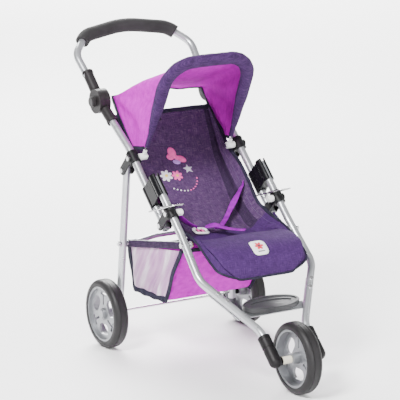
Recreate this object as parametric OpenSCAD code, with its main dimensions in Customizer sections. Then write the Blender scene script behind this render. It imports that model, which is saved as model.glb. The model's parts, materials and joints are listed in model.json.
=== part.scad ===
// Doll stroller: a folding three-wheeled jogger for dolls.
// Millimetres. The front faces -Y, +Z is up, and the stroller's left side is at +X.
// The origin is on the floor, under the middle of the bounding box.

/* [Wheels] */
// Outer diameter of the three tyres
wheel_d = 164; // [150:1:176]
// Width of the tyres
wheel_w = 36; // [30:1:40]
// Distance along Y from the front axle to the rear axle
wheelbase = 534; // [520:1:550]
// Distance between the middles of the two rear tyres
track = 380; // [376:1:400]
// Diameter of both axle rods and of every frame bolt
rod_d = 6; // [5:0.5:6]

/* [Frame] */
// Outer diameter of the frame tubes
tube_d = 18; // [17:0.5:19]
// Wall thickness of the frame tubes
tube_wall = 1; // [0.8:0.1:2]
// Slope of the long side tubes below the horizontal, in degrees
tube_slope = 43; // [42:0.5:44]
// Distance between the axes of the upper tube and the lower tube where they overlap
tube_gap = 47; // [45:0.5:48]
// Distance from the middle plane to the side tubes at the clamps
frame_half = 143; // [142:0.5:144]
// Distance from the middle plane to the two lower tube ends at the front wheel
fork_half = 58; // [56:1:60]

/* [Handle] */
// Slope of the push handle above the horizontal, in degrees
handle_slope = 44; // [40:1:50]
// Distance from the hinge axis to the middle of the push bar
handle_len = 214; // [200:1:220]
// Diameter of the foam grip
grip_d = 33; // [30:1:35]
// Radius of the hinge discs
hinge_r = 29; // [26:1:30]

/* [Canopy] */
// Height of the canopy bow above its pivot, measured in the bow's own plane
bow_len = 266; // [250:1:275]
// Distance from the middle plane to the two legs of the bow
bow_half = 116; // [112:1:117]
// Lean of the bow in front of the vertical, in degrees
bow_lean = 26.5; // [24:0.5:29]
// Diameter of the padded roll sewn round the bow
hem_d = 26; // [20:1:26]

/* [Fabric] */
// Thickness of the seat fabric
seat_thick = 6; // [4:0.5:7]
// Thickness of the canopy cloth
canopy_thick = 2; // [1.5:0.5:3]
// Thickness of the basket walls
basket_thick = 2.5; // [2:0.5:4]

/* [Hidden] */
$fn = 48;

// Signs of the two sides
LEFT = 1;
RIGHT = -1;
// Running clearance of a bolt in a moving bore, and the gap left beside moving faces
fit = 0.05;
gap = 0.5;

wheel_r = wheel_d / 2;
rod_r = rod_d / 2;
tube_r = tube_d / 2;
tube_bore_r = tube_r - tube_wall;
grip_r = grip_d / 2;
clamp_r = 12.5;
// The faces of a clamp's two ears, measured from the tube's axis
ear_in = tube_r + 1.1;
ear_out = 13;

// Hinge axis of the handle, with the rear axle as zero along Y
hinge_x = 150;
hinge_y = 91;
hinge_z = 574;
// The longest reach behind and in front, which put the origin under the middle
reach_back = hinge_y + handle_len * cos(handle_slope) + grip_r;
reach_front = wheelbase + wheel_r;
rear_y = (reach_front - reach_back) / 2;

// The plane of the side tubes: its zero point lies on the lower tube's axis
plane_y = -192;
plane_z = 400.8;

// A point given with the rear axle as zero along Y
function at(x, y, z) = [x, y + rear_y, z];
// A point s down the slope and n above the lower tube's axis
function tube_at(x, s, n) = at(
    x,
    plane_y - s * cos(tube_slope) - n * sin(tube_slope),
    plane_z - s * sin(tube_slope) + n * cos(tube_slope)
);
function unit(v) = v / norm(v);
function lerp(a, b, t) = a + (b - a) * t;

// Stations down the tubes of the clamps, the sleeve and the strut's bolt
clamp_len = 30;
upper_clamp_s = -142;
lower_clamp_s = 50;
strut_bolt_s = 138;
stub_top_s = -50;
bail_s = 31;
axle_s = 467.4;
socket_top_s = 402;
ear_reach = 48;

// Bolts of the frame: fold pivot, bow pivot, leg pivot, strut bolt and leg bolt
fold_pivot = tube_at(frame_half, lower_clamp_s, -tube_gap);
bow_pivot = tube_at(frame_half, upper_clamp_s, -tube_gap);
leg_pivot = tube_at(frame_half, upper_clamp_s, -tube_gap - ear_reach);
lower_bolt = tube_at(frame_half, lower_clamp_s, 0);
strut_bolt = tube_at(144.6, strut_bolt_s, 0);
leg_foot = at(156.5, 0, wheel_r);
leg_bolt = lerp(leg_pivot, leg_foot, 0.516);
front_axle_at = at(0, -wheelbase, wheel_r);
hinge_at = at(hinge_x, hinge_y, hinge_z);

// ---- placing and sweeping ----

// Builds the left side as it is and the right side as its mirror image
module on_side(side) {
    if (side == LEFT)
        children();
    else
        mirror([1, 0, 0]) children();
}

// Turns +Z to run from point a towards point b
module along(a, b) {
    v = b - a;
    translate(a)
        rotate([0, acos(v.z / norm(v)), atan2(v.y, v.x)])
            children();
}

module rod(a, b, r) {
    along(a, b) cylinder(h = norm(b - a), r = r);
}

// A round bar along X between two distances from the middle plane
module cross_rod(p, x0, x1, r) {
    rod([x0, p.y, p.z], [x1, p.y, p.z], r);
}

function turn(a, p, b) = acos(min(1, unit(p - a) * unit(b - p)));
function setback(a, p, b, bend) = bend * tan(turn(a, p, b) / 2);
function trim_at(points, i, bends) =
    i == 0 || i == len(points) - 1
        ? 0
        : setback(points[i - 1], points[i], points[i + 1], bends[i]);
function stretched(points, extra) = [
    for (i = [0:len(points) - 1])
        i == 0 ? points[0] - unit(points[1] - points[0]) * extra
        : i == len(points) - 1 ? points[i] + unit(points[i] - points[i - 1]) * extra
        : points[i]
];

// One arc of a bent bar, round the corner at p
module elbow(a, p, b, bend, r) {
    u = unit(p - a);
    v = unit(b - p);
    phi = turn(a, p, b);
    start = p - u * setback(a, p, b, bend);
    centre = p + unit(v - u) * bend / cos(phi / 2);
    x = (start - centre) / bend;
    z = cross(x, u);
    multmatrix([
        [x.x, u.x, z.x, centre.x],
        [x.y, u.y, z.y, centre.y],
        [x.z, u.z, z.z, centre.z],
        [0, 0, 0, 1]
    ])
        rotate_extrude(angle = phi) translate([bend, 0]) circle(r + swell);
}

// A bend is a hair thicker than its bar, and each straight run ends inside it
swell = 0.15;
lap = 1;
function lap_at(points, i) = i == 0 || i == len(points) - 1 ? 0 : lap;

// A round bar along a path with one bend radius for each corner
module bar(points, bends, r) {
    last = len(points) - 1;
    for (i = [0:last - 1]) {
        dir = unit(points[i + 1] - points[i]);
        rod(
            points[i] + dir * (trim_at(points, i, bends) - lap_at(points, i)),
            points[i + 1] - dir * (trim_at(points, i + 1, bends) - lap_at(points, i + 1)),
            r
        );
    }
    for (i = [1:1:last - 1])
        elbow(points[i - 1], points[i], points[i + 1], bends[i], r);
}

module tube(points, bends) {
    difference() {
        bar(points, bends, tube_r);
        bar(stretched(points, 1), bends, tube_bore_r);
    }
}

// A bolt along X: shank, outer head and inner head
module bolt(p, inner, outer, head_r = 5.5, head_h = 3) {
    cross_rod(p, inner, outer, rod_r);
    cross_rod(p, outer, outer + head_h, head_r);
    cross_rod(p, inner - head_h, inner, head_r);
}

// ---- sheets made from a grid of points ----

function flat(rows) = [for (row = rows) for (p = row) p];
function edge_dir(rows, i, j) =
    rows[min(i + 1, len(rows) - 1)][j] - rows[max(i - 1, 0)][j];
function across_dir(rows, i, j) =
    rows[i][min(j + 1, len(rows[0]) - 1)] - rows[i][max(j - 1, 0)];
function offset_rows(rows, d) = [
    for (i = [0:len(rows) - 1]) [
        for (j = [0:len(rows[0]) - 1])
            rows[i][j] + unit(cross(edge_dir(rows, i, j), across_dir(rows, i, j))) * d
    ]
];

// A closed slab whose two faces are the grid and the grid moved along its normals
module sheet(rows, thick) {
    m = len(rows);
    n = len(rows[0]);
    count = m * n;
    function id(i, j) = i * n + j;
    face_a = [
        for (i = [0:m - 2])
            for (j = [0:n - 2])
                each [
                    [id(i, j), id(i + 1, j), id(i + 1, j + 1)],
                    [id(i, j), id(i + 1, j + 1), id(i, j + 1)]
                ]
    ];
    face_b = [for (f = face_a) [f[0] + count, f[2] + count, f[1] + count]];
    rim = concat(
        [for (j = [0:n - 2]) [id(0, j), id(0, j + 1)]],
        [for (i = [0:m - 2]) [id(i, n - 1), id(i + 1, n - 1)]],
        [for (j = [n - 1:-1:1]) [id(m - 1, j), id(m - 1, j - 1)]],
        [for (i = [m - 1:-1:1]) [id(i, 0), id(i - 1, 0)]]
    );
    walls = [
        for (e = rim)
            each [
                [e[0], e[1], e[1] + count],
                [e[0], e[1] + count, e[0] + count]
            ]
    ];
    polyhedron(
        points = concat(flat(rows), flat(offset_rows(rows, thick))),
        faces = concat(face_a, face_b, walls)
    );
}

// ---- lower frame ----

lower_path = [
    tube_at(frame_half, stub_top_s, 0),
    tube_at(frame_half, 110, 0),
    tube_at(150, 235, 0),
    tube_at(fork_half, 388, 0),
    tube_at(fork_half, 440, 0)
];
lower_bends = [0, 200, 60, 60, 0];
// Stations of the two rivets that hold the footrest's bracket, on the third run
rivet_steps = [0.29, 0.43];
function rivet_x(t) = lerp(lower_path[2], lower_path[3], t).x;
function rivet_s(t) = lerp(235, 388, t);

module lower_tube(side) {
    color("silver")
        on_side(side)
            difference() {
                tube(lower_path, lower_bends);
                cross_rod(lower_bolt, frame_half - 20, frame_half + 20, rod_r);
                cross_rod(strut_bolt, frame_half - 20, frame_half + 20, rod_r);
                cross_rod(
                    tube_at(0, bail_s, 0), frame_half - 20, frame_half + 20, bail_r + fit
                );
                for (t = rivet_steps)
                    rod(
                        tube_at(rivet_x(t), rivet_s(t), -20),
                        tube_at(rivet_x(t), rivet_s(t), 20),
                        rivet_r
                    );
            }
}

fork_r = 14.5;
boss_r = 10;
boss_in = fork_half - fork_r - 1;
axle_end_x = fork_half + 6;

// Outline of the boot from its mouth to its round end: three bands with necks between
module boot_profile() {
    neck_r = fork_r - 1.5;
    long = axle_s - socket_top_s;
    polygon([
        [0, 0], [fork_r, 0], [fork_r, 6], [neck_r, 6], [neck_r, 9], [fork_r, 9],
        [fork_r, 28], [neck_r, 28], [neck_r, 34], [fork_r, 34],
        for (a = [0:10:80]) [fork_r * cos(a), long + fork_r * sin(a)],
        [0, long + fork_r]
    ]);
}

// Rubbery boot on the tube's end, which holds the front axle in a blind hole
module fork_end(side) {
    color([0.15, 0.15, 0.15])
        on_side(side)
            difference() {
                union() {
                    along(
                        tube_at(fork_half, socket_top_s, 0), tube_at(fork_half, axle_s, 0)
                    )
                        rotate_extrude() boot_profile();
                    cross_rod(front_axle_at, boss_in, fork_half, boss_r);
                }
                bar(stretched(lower_path, 0), lower_bends, tube_r);
                cross_rod(front_axle_at, boss_in - 1, axle_end_x, rod_r);
            }
}

module front_axle() {
    color("silver")
        cross_rod(front_axle_at, -axle_end_x, axle_end_x, rod_r);
}

hub_half = wheel_w / 2 - 0.5;

// Cream bushes between the front hub and the fork ends
module hub_spacers() {
    color("wheat")
        for (side = [LEFT, RIGHT])
            on_side(side)
                difference() {
                    cross_rod(front_axle_at, hub_half + gap, boss_in, 8.5);
                    cross_rod(front_axle_at, 0, fork_half, rod_r);
                }
}

footrest_y = -425;
footrest_z = 180;
footrest_tilt = 10;
footrest_half = 73;
footrest_deep = 32;
footrest_thick = 13;

function oval(a, b, steps = 48) = [
    for (i = [0:steps - 1])
        [a * cos(i * 360 / steps), b * sin(i * 360 / steps)]
];

module oval_plate(inset, low, high) {
    translate([0, 0, low])
        linear_extrude(high - low)
            polygon(oval(footrest_half - inset, footrest_deep - inset));
}

module at_footrest() {
    translate(at(0, footrest_y, footrest_z))
        rotate([footrest_tilt, 0, 0])
            children();
}

module footrest() {
    color("dimgray")
        at_footrest()
            difference() {
                union() {
                    oval_plate(1.5, -footrest_thick / 2, footrest_thick / 2);
                    oval_plate(0, -footrest_thick / 2 + 2, footrest_thick / 2 - 2);
                }
                oval_plate(7, footrest_thick / 2 - 2, footrest_thick);
                oval_plate(19, footrest_thick / 2 - 4, footrest_thick);
                oval_plate(6, -footrest_thick, -footrest_thick / 2 + 5);
            }
}

bracket_top_n = -tube_r - 0.3;
bracket_thick = 3;
arm_half = 7.5;
// Where each bracket arm starts and ends on the tube's third run
arm_steps = [0.21, 0.7];
strip_half = rivet_x(0.7);

// A box given by its ranges across, down the slope and above the tube's plane
module slope_box(x0, x1, s0, s1, n0, n1) {
    corner = tube_at(x0, s1, n0);
    translate(corner)
        rotate([tube_slope, 0, 0])
            cube([x1 - x0, s1 - s0, n1 - n0]);
}

// Two arms under the tubes, joined by a strip that carries the footrest
module footrest_bracket() {
    low = bracket_top_n - bracket_thick;
    color("silver")
        difference() {
            union() {
                for (side = [LEFT, RIGHT])
                    on_side(side)
                        hull()
                            for (t = arm_steps)
                                slope_box(
                                    rivet_x(t) - arm_half, rivet_x(t) + arm_half,
                                    rivet_s(t) - 1, rivet_s(t) + 1, low, bracket_top_n
                                );
                slope_box(-strip_half, strip_half, 323, 342, low, bracket_top_n);
                slope_box(-30, 30, 326, 332, bracket_top_n - 1, -4.6);
            }
            for (side = [LEFT, RIGHT])
                on_side(side)
                    for (t = rivet_steps)
                        rod(
                            tube_at(rivet_x(t), rivet_s(t), -20),
                            tube_at(rivet_x(t), rivet_s(t), 20),
                            rivet_r
                        );
            at_footrest() oval_plate(0, -footrest_thick / 2, footrest_thick / 2);
        }
}

rivet_r = 2.5;

module footrest_rivets() {
    low = bracket_top_n - bracket_thick;
    color("silver")
        for (side = [LEFT, RIGHT])
            on_side(side)
                for (t = rivet_steps) {
                    x = rivet_x(t);
                    s = rivet_s(t);
                    rod(tube_at(x, s, low - 1.5), tube_at(x, s, tube_r + 1.5), rivet_r);
                    rod(tube_at(x, s, low - 2.5), tube_at(x, s, low), 4.5);
                    difference() {
                        rod(tube_at(x, s, tube_r - 1), tube_at(x, s, tube_r + 2), 4.5);
                        bar(lower_path, lower_bends, tube_r);
                    }
                }
}

// Clamp collar at s0 on an axis at n0, with two ears down to a bolt
module clamp_body(s0, n0) {
    top = s0 - clamp_len / 2;
    low = s0 + clamp_len / 2;
    rod(tube_at(frame_half, top, n0), tube_at(frame_half, low, n0), clamp_r);
    for (s = [top, low - 5])
        rod(tube_at(frame_half, s, n0), tube_at(frame_half, s + 5, n0), clamp_r + 1);
    for (x = [frame_half - ear_out, frame_half + ear_in])
        ear_plate(x, x + ear_out - ear_in, s0, n0);
    cross_rod(
        tube_at(0, s0, n0), frame_half + tube_r - 1, frame_half + ear_out + 1.5, 9
    );
}

module ear_plate(x0, x1, s0, n0) {
    reach = n0 - ear_reach + (n0 == 0 ? ear_reach - tube_gap : 0);
    slope_box(x0, x1, s0 - 11, s0 + 11, reach, n0);
    cross_rod(tube_at(0, s0, reach), x0, x1, 11);
}

module lower_clamp(side) {
    color("dimgray")
        on_side(side)
            difference() {
                clamp_body(lower_clamp_s, 0);
                bar(lower_path, lower_bends, tube_r);
                cross_rod(lower_bolt, frame_half - 20, frame_half + 20, rod_r);
                cross_rod(fold_pivot, frame_half - 20, frame_half + 20, rod_r);
            }
}

module lower_clamp_bolts() {
    color("silver")
        for (side = [LEFT, RIGHT])
            on_side(side) {
                cross_rod(lower_bolt, frame_half - 24, frame_half + 14.5, rod_r);
                cross_rod(lower_bolt, frame_half + 14.5, frame_half + 17, 5.5);
            }
}

// White knob on the inner end of the lower clamp's bolt
module lower_clamp_knobs() {
    color("white")
        for (side = [LEFT, RIGHT])
            on_side(side)
                difference() {
                    union() {
                        cross_rod(lower_bolt, frame_half - 27, frame_half - 14, 8);
                        cross_rod(lower_bolt, frame_half - 29, frame_half - 27, 6);
                    }
                    cross_rod(lower_bolt, frame_half - 24, frame_half, rod_r);
                }
}

module fold_pivot_bolts() {
    color("silver")
        for (side = [LEFT, RIGHT])
            on_side(side)
                bolt(fold_pivot, frame_half - ear_out, frame_half + ear_out);
}

strut_in = 130.2;
strut_out = 133.2;

module strut_bolts() {
    color("silver")
        for (side = [LEFT, RIGHT])
            on_side(side)
                difference() {
                    union() {
                        cross_rod(strut_bolt, strut_in - 4, 155, rod_r);
                        cross_rod(strut_bolt, 152, 157, 6);
                        cross_rod(strut_bolt, strut_out + 0.2, 137, 6);
                    }
                    difference() {
                        bar(lower_path, lower_bends, tube_r);
                        cross_rod(strut_bolt, 100, 180, rod_r);
                    }
                }
}

module strut_cap_nuts() {
    color("goldenrod")
        for (side = [LEFT, RIGHT])
            on_side(side)
                difference() {
                    union() {
                        cross_rod(strut_bolt, strut_in - 4, strut_in - 0.3, 6);
                        cross_rod(strut_bolt, strut_in - 5.5, strut_in - 4, 4);
                    }
                    cross_rod(strut_bolt, strut_in - 4, strut_in, rod_r);
                }
}

// ---- wheels ----

rim_r = wheel_r - 16;
web_in = 3;
web_out = 9;

// Tyre cross-section: a ring with well rounded shoulders and two fine tread grooves
module tyre_profile() {
    shoulder = 12;
    half = wheel_w / 2;
    intersection() {
        translate([rim_r, -half]) square([wheel_r, wheel_w]);
        difference() {
            union() {
                translate([rim_r, -half]) square([wheel_r - rim_r - shoulder, wheel_w]);
                translate([rim_r, -half + shoulder])
                    square([wheel_r - rim_r, wheel_w - 2 * shoulder]);
                for (y = [-half + shoulder, half - shoulder])
                    translate([wheel_r - shoulder, y]) circle(shoulder);
            }
            for (y = [-7, 7])
                translate([wheel_r - 1.2, y - 0.6]) square([3, 1.2]);
        }
    }
}

module spin_at(p) {
    translate(p) rotate([0, 90, 0]) children();
}

module tyre(p) {
    color([0.2, 0.2, 0.2]) spin_at(p) rotate_extrude() tyre_profile();
}

// Rim with a barrel, a hub and a pierced web: three ovals and three T-shaped slots
module rim(p) {
    color("gray")
        spin_at(p)
            difference() {
                union() {
                    rotate_extrude() {
                        translate([rim_r - 5, 2 - wheel_w / 2]) square([5, wheel_w - 4]);
                        translate([0, -hub_half]) square([13, hub_half + web_out + 2]);
                        translate([0, web_in]) square([rim_r - 1, web_out - web_in]);
                    }
                }
                translate([0, 0, -wheel_w]) cylinder(h = 2 * wheel_w, r = rod_r + fit);
                translate([0, 0, web_in - 1])
                    linear_extrude(web_out - web_in + 2) rim_holes();
            }
}

module rim_holes() {
    for (i = [0:2])
        rotate(i * 120) {
            translate([38, 0]) {
                for (y = [-8, 8])
                    translate([0, y]) circle(13);
                translate([-13, -8]) square([26, 16]);
            }
            rotate(60) {
                translate([22, -3]) square([28, 6]);
                translate([45, -13]) square([7, 26]);
            }
        }
}

front_wheel_at = front_axle_at;
rear_wheel_at = at(track / 2, 0, wheel_r);

module rear_tyre(side) {
    on_side(side) tyre(rear_wheel_at);
}

module rear_rim(side) {
    on_side(side) rim(rear_wheel_at);
}

// Round cap over the axle's end, on the outer face of the rear hub
module hub_cap(side) {
    face = track / 2 + web_out + 2;
    color("darkgray")
        on_side(side)
            difference() {
                union() {
                    cross_rod(rear_wheel_at, face, face + 4, 14);
                    cross_rod(rear_wheel_at, face + 4, face + 6, 11);
                }
                cross_rod(rear_wheel_at, face - 1, face + 3.5, 8);
            }
}

// ---- rear legs ----

leg_top = leg_pivot + unit(leg_pivot - leg_foot) * 12;
leg_end = leg_foot + unit(leg_foot - leg_pivot) * 14;
leg_path = [leg_top, leg_end];

module rear_leg(side) {
    color("silver")
        on_side(side)
            difference() {
                tube(leg_path, [0, 0]);
                cross_rod(leg_pivot, frame_half - 20, frame_half + 20, rod_r + fit);
                cross_rod(leg_bolt, 130, 170, rod_r);
                cross_rod(leg_foot, 140, 175, rod_r);
            }
}

axle_end = track / 2 + web_out + 4;

// The axle rod with a push-on retainer near each end
module rear_axle() {
    color("silver")
        difference() {
            union() {
                cross_rod(leg_foot, -axle_end, axle_end, rod_r);
                for (side = [LEFT, RIGHT])
                    on_side(side)
                        cross_rod(leg_foot, axle_end - 1.5, axle_end, 6);
            }
        }
}

module axle_spacers() {
    color("dimgray")
        for (side = [LEFT, RIGHT])
            on_side(side)
                difference() {
                    cross_rod(leg_foot, 162, track / 2 - hub_half - gap, 7);
                    rod(leg_top, leg_end, tube_r);
                    cross_rod(leg_foot, 100, 200, rod_r);
                }
}

// Bolt through the leg at the height of the cross bar, with a washer outside
module leg_bolts() {
    color("silver")
        for (side = [LEFT, RIGHT])
            on_side(side)
                difference() {
                    union() {
                        cross_rod(leg_bolt, 135.5, 163, rod_r);
                        cross_rod(leg_bolt, leg_bolt.x + 7, leg_bolt.x + 11, 7.5);
                        cross_rod(leg_bolt, leg_bolt.x + 11, leg_bolt.x + 14, 5);
                        cross_rod(leg_bolt, leg_bolt.x - 13.5, leg_bolt.x - 8, 5.5);
                    }
                    difference() {
                        rod(leg_top, leg_end, tube_r);
                        cross_rod(leg_bolt, 100, 200, rod_r);
                    }
                }
}

// ---- struts, cross bar and basket ----

module strut(side) {
    p = [0, strut_bolt.y, strut_bolt.z];
    q = [0, leg_bolt.y, leg_bolt.z];
    color("gray")
        on_side(side)
            difference() {
                union() {
                    cross_rod(p, strut_in, strut_out, 8);
                    cross_rod(q, strut_in, strut_out, 8);
                    translate([strut_in, p.y, p.z])
                        rotate([atan2(q.z - p.z, q.y - p.y), 0, 0])
                            translate([0, 0, -6])
                                cube([strut_out - strut_in, norm(q - p), 12]);
                }
                cross_rod(p, 100, 150, rod_r + fit);
            }
}

bar_rise = 7;

module rear_cross_bar() {
    y = leg_bolt.y - rear_y;
    z = leg_bolt.z;
    color("silver") {
        bar(
            [
                at(-strut_in, y, z),
                at(-110, y, z),
                at(-60, y, z + bar_rise),
                at(60, y, z + bar_rise),
                at(110, y, z),
                at(strut_in, y, z)
            ],
            [0, 60, 80, 80, 60, 0],
            5.5
        );
        for (side = [LEFT, RIGHT])
            on_side(side)
                cross_rod(leg_bolt, 115, strut_in, 8);
    }
}

basket_top_half = 129.5;
basket_low_half = 115;
// Outer rim and floor of the basket: rear and front, as distances along Y and heights
basket_rear_top = [4, 238];
basket_front_top = [-256, 278];
basket_rear_low = [6, 130];
basket_front_low = [-154, 137];

function basket_rows(inset, drop) = [
    for (level = [0, 1])
        let (
            half = lerp(basket_low_half, basket_top_half, level) - inset,
            rear = lerp(basket_rear_low, basket_rear_top, level),
            front = lerp(basket_front_low, basket_front_top, level),
            lift = level == 0 ? inset : drop
        )
        [
            at(-half, rear[0] - inset, rear[1] + lift),
            at(half, rear[0] - inset, rear[1] + lift),
            at(half, front[0] + inset, front[1] + lift),
            at(-half, front[0] + inset, front[1] + lift)
        ]
];

// A tapered box with its floor first and its top second, four corners each
module tapered_box(rows) {
    polyhedron(
        points = flat(rows),
        faces = [
            [3, 2, 1, 0], [4, 5, 6, 7],
            [1, 5, 4, 0], [2, 6, 5, 1], [3, 7, 6, 2], [0, 4, 7, 3]
        ]
    );
}

module basket() {
    color([0.65, 0.2, 0.7])
        difference() {
            tapered_box(basket_rows(0, 0));
            tapered_box(basket_rows(basket_thick, 5));
        }
}

// ---- upper frame ----

upper_vertex = tube_at(frame_half, -168, -tube_gap);
upper_end = hinge_at - unit(hinge_at - upper_vertex) * (hinge_r + 2);
upper_path = [
    tube_at(frame_half, lower_clamp_s + 12, -tube_gap),
    upper_vertex,
    upper_end
];
upper_bends = [0, 120, 0];

module upper_tube(side) {
    color("silver")
        on_side(side)
            difference() {
                tube(upper_path, upper_bends);
                cross_rod(fold_pivot, frame_half - 20, frame_half + 20, rod_r + fit);
                cross_rod(bow_pivot, frame_half - 20, frame_half + 20, rod_r);
            }
}

module upper_clamp(side) {
    color("dimgray")
        on_side(side)
            difference() {
                clamp_body(upper_clamp_s, -tube_gap);
                bar(upper_path, upper_bends, tube_r);
                cross_rod(bow_pivot, frame_half - 20, frame_half + 20, rod_r);
                cross_rod(leg_pivot, frame_half - 20, frame_half + 20, rod_r);
            }
}

clip_in = 109.5;
clip_out = frame_half - ear_out - gap;

module upper_clamp_bolts() {
    color("silver")
        for (side = [LEFT, RIGHT])
            on_side(side) {
                cross_rod(bow_pivot, clip_in - 3.5, frame_half + 14.5, rod_r);
                cross_rod(bow_pivot, frame_half + 14.5, frame_half + 17, 5.5);
                cross_rod(bow_pivot, clip_in - 4, clip_in - gap, 5);
            }
}

module leg_pivot_bolts() {
    color("silver")
        for (side = [LEFT, RIGHT])
            on_side(side)
                bolt(leg_pivot, frame_half - ear_out, frame_half + ear_out);
}

// Planes of the hinge, measured from the middle plane
disc_in = 136;
disc_mid = 149.7;
disc_out = 164;
pin_r = 8;
stem_r = 5;

// A hinge half: a disc with a sleeve on a tube that points at the hinge axis
module hinge_half(x0, x1, far, reach) {
    dir = unit(far - hinge_at);
    cross_rod(hinge_at, x0, x1, hinge_r);
    rod(hinge_at + dir * (hinge_r + 1), hinge_at + dir * reach, clamp_r);
    rod(hinge_at + dir * (reach - 6), hinge_at + dir * reach, clamp_r + 1.2);
    intersection() {
        rod(hinge_at + dir * 12, hinge_at + dir * (hinge_r + 8), clamp_r - 0.8);
        translate([x0 + 0.6, -1000, 0]) cube([x1 - x0 - 1.2, 2000, 1000]);
    }
}

module hinge_base(side) {
    color("gray")
        on_side(side)
            difference() {
                union() {
                    hinge_half(disc_in, disc_mid, upper_end, 70);
                    cross_rod(hinge_at, disc_mid - 1, disc_out, pin_r);
                }
                rod(upper_end, upper_vertex, tube_r);
                cross_rod(hinge_at, disc_mid - 8, disc_out + 1, stem_r + fit);
            }
}

button_travel = 3;

// Push button: a broad cap outside the hinge and a stem inside its hollow pin
module hinge_button(side) {
    cap = disc_out + button_travel + gap;
    color("gray")
        on_side(side) {
            cross_rod(hinge_at, disc_mid - 8 + button_travel + gap, cap, stem_r);
            cross_rod(hinge_at, cap, cap + 6, 13);
            cross_rod(hinge_at, cap + 6, cap + 8, 11);
        }
}

function handle_at(x, w) = at(
    x, hinge_y + w * cos(handle_slope), hinge_z + w * sin(handle_slope)
);
handle_half_path = [[hinge_x, hinge_r + 2], [159, 140], [112, 192], [0, handle_len]];
handle_path = [
    for (p = handle_half_path) handle_at(p[0], p[1]),
    for (i = [2:-1:0]) handle_at(-handle_half_path[i][0], handle_half_path[i][1])
];
handle_bends = [0, 45, 50, 200, 50, 45, 0];
// How far along the slanted run of the handle the grip starts
grip_from = 0.66;
grip_path = [
    lerp(handle_path[1], handle_path[2], grip_from),
    handle_path[2],
    handle_path[3],
    handle_path[4],
    lerp(handle_path[5], handle_path[4], grip_from)
];
grip_bends = [0, 50, 200, 50, 0];

module hinge_arm(side) {
    color("gray")
        on_side(side)
            difference() {
                hinge_half(disc_mid + gap, disc_out, handle_path[0], 85);
                rod(handle_path[0], handle_path[1], tube_r);
                cross_rod(hinge_at, disc_mid - 5, disc_out + 5, pin_r + fit);
            }
}

module handle_bar() {
    color("silver") tube(handle_path, handle_bends);
}

module handle_grip() {
    color([0.25, 0.25, 0.27])
        difference() {
            bar(grip_path, grip_bends, grip_r);
            bar(stretched(grip_path, 2), grip_bends, tube_r);
        }
}

// ---- lock sleeve and bail ----

sleeve_top = -56;
sleeve_low = 0;
sleeve_r = 12.3;
lip_slot = 3.5;
web_half = 11;

module sleeve_ring(n, outer, inner, low = sleeve_low) {
    difference() {
        rod(tube_at(frame_half, sleeve_top, n), tube_at(frame_half, low, n), outer);
        rod(tube_at(frame_half, sleeve_top - 1, n), tube_at(frame_half, low + 1, n), inner);
    }
}

// Slides on the upper tube and cups the back half of the lower tube's top end
module lock_sleeve(side) {
    color([0.12, 0.12, 0.12])
        on_side(side)
            difference() {
                union() {
                    rod(
                        tube_at(frame_half, sleeve_top, -tube_gap),
                        tube_at(frame_half, sleeve_low, -tube_gap),
                        sleeve_r
                    );
                    intersection() {
                        rod(
                            tube_at(frame_half, sleeve_top, 0),
                            tube_at(frame_half, sleeve_low, 0),
                            sleeve_r
                        );
                        slope_box(100, 200, sleeve_top - 1, sleeve_low + 1, -20, -0.4);
                    }
                    slope_box(
                        frame_half - web_half, frame_half + web_half, sleeve_top + 1, sleeve_low - 1,
                        -tube_gap + 4, -8
                    );
                }
                rod(
                    tube_at(frame_half, sleeve_top - 1, -tube_gap),
                    tube_at(frame_half, sleeve_low + 1, -tube_gap),
                    tube_r + fit
                );
                rod(
                    tube_at(frame_half, sleeve_top - 1, 0),
                    tube_at(frame_half, sleeve_low + 1, 0),
                    tube_r + 0.3
                );
            }
}

// Two springy lips that close over the front of the lower tube
module sleeve_lips(side) {
    color([0.12, 0.12, 0.12])
        on_side(side)
            intersection() {
                sleeve_ring(0, sleeve_r, tube_r + 0.3);
                for (x = [frame_half - 20, frame_half + lip_slot])
                    slope_box(
                        x, x + 20 - lip_slot, sleeve_top - 1, sleeve_low + 1, 0.05, 20
                    );
            }
}

bail_r = 1.7;
bail_half = 15.5;
bail_bar = [56, 43];
bail_tail = [2, -58];

// Wire bail: a front bar, two legs past both tubes, and two pivot ends in the tube
module bail(side) {
    front = [for (x = [-bail_half, bail_half])
        tube_at(frame_half + x, bail_bar[0], bail_bar[1])];
    tail = [for (x = [-bail_half, bail_half])
        tube_at(frame_half + x, bail_tail[0], bail_tail[1])];
    color("silver")
        on_side(side) {
            bar([tail[0], front[0], front[1], tail[1]], [0, 8, 8, 0], bail_r);
            for (x = [-1, 1])
                cross_rod(
                    tube_at(0, bail_s, 0),
                    frame_half + x * (tube_r - 3),
                    frame_half + x * bail_half,
                    bail_r
                );
        }
}

// ---- canopy ----

// A point of the bow's plane: across, and up from the pivot
function bow_at(x, w) =
    [x, bow_pivot.y - w * sin(bow_lean), bow_pivot.z + w * cos(bow_lean)];
bow_bend = 70;
bow_path = [
    bow_at(bow_half, 6),
    bow_at(bow_half, bow_len),
    bow_at(-bow_half, bow_len),
    bow_at(-bow_half, 6)
];
bow_bends = [0, bow_bend, bow_bend, 0];
bow_r = 2;
hem_start = 34;

module bow_wire() {
    color("silver") bar(bow_path, bow_bends, bow_r);
}

// White pivot knob with a neck that holds the end of the bow
module bow_clips() {
    color("white")
        for (side = [LEFT, RIGHT])
            on_side(side)
                difference() {
                    union() {
                        cross_rod(bow_pivot, clip_in, clip_out, 8);
                        rod(bow_at(bow_half, 0), bow_at(bow_half, 18), 4.5);
                    }
                    cross_rod(bow_pivot, clip_in - 5, clip_out + 5, rod_r + fit);
                    bar(bow_path, bow_bends, bow_r);
                }
}

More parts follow.
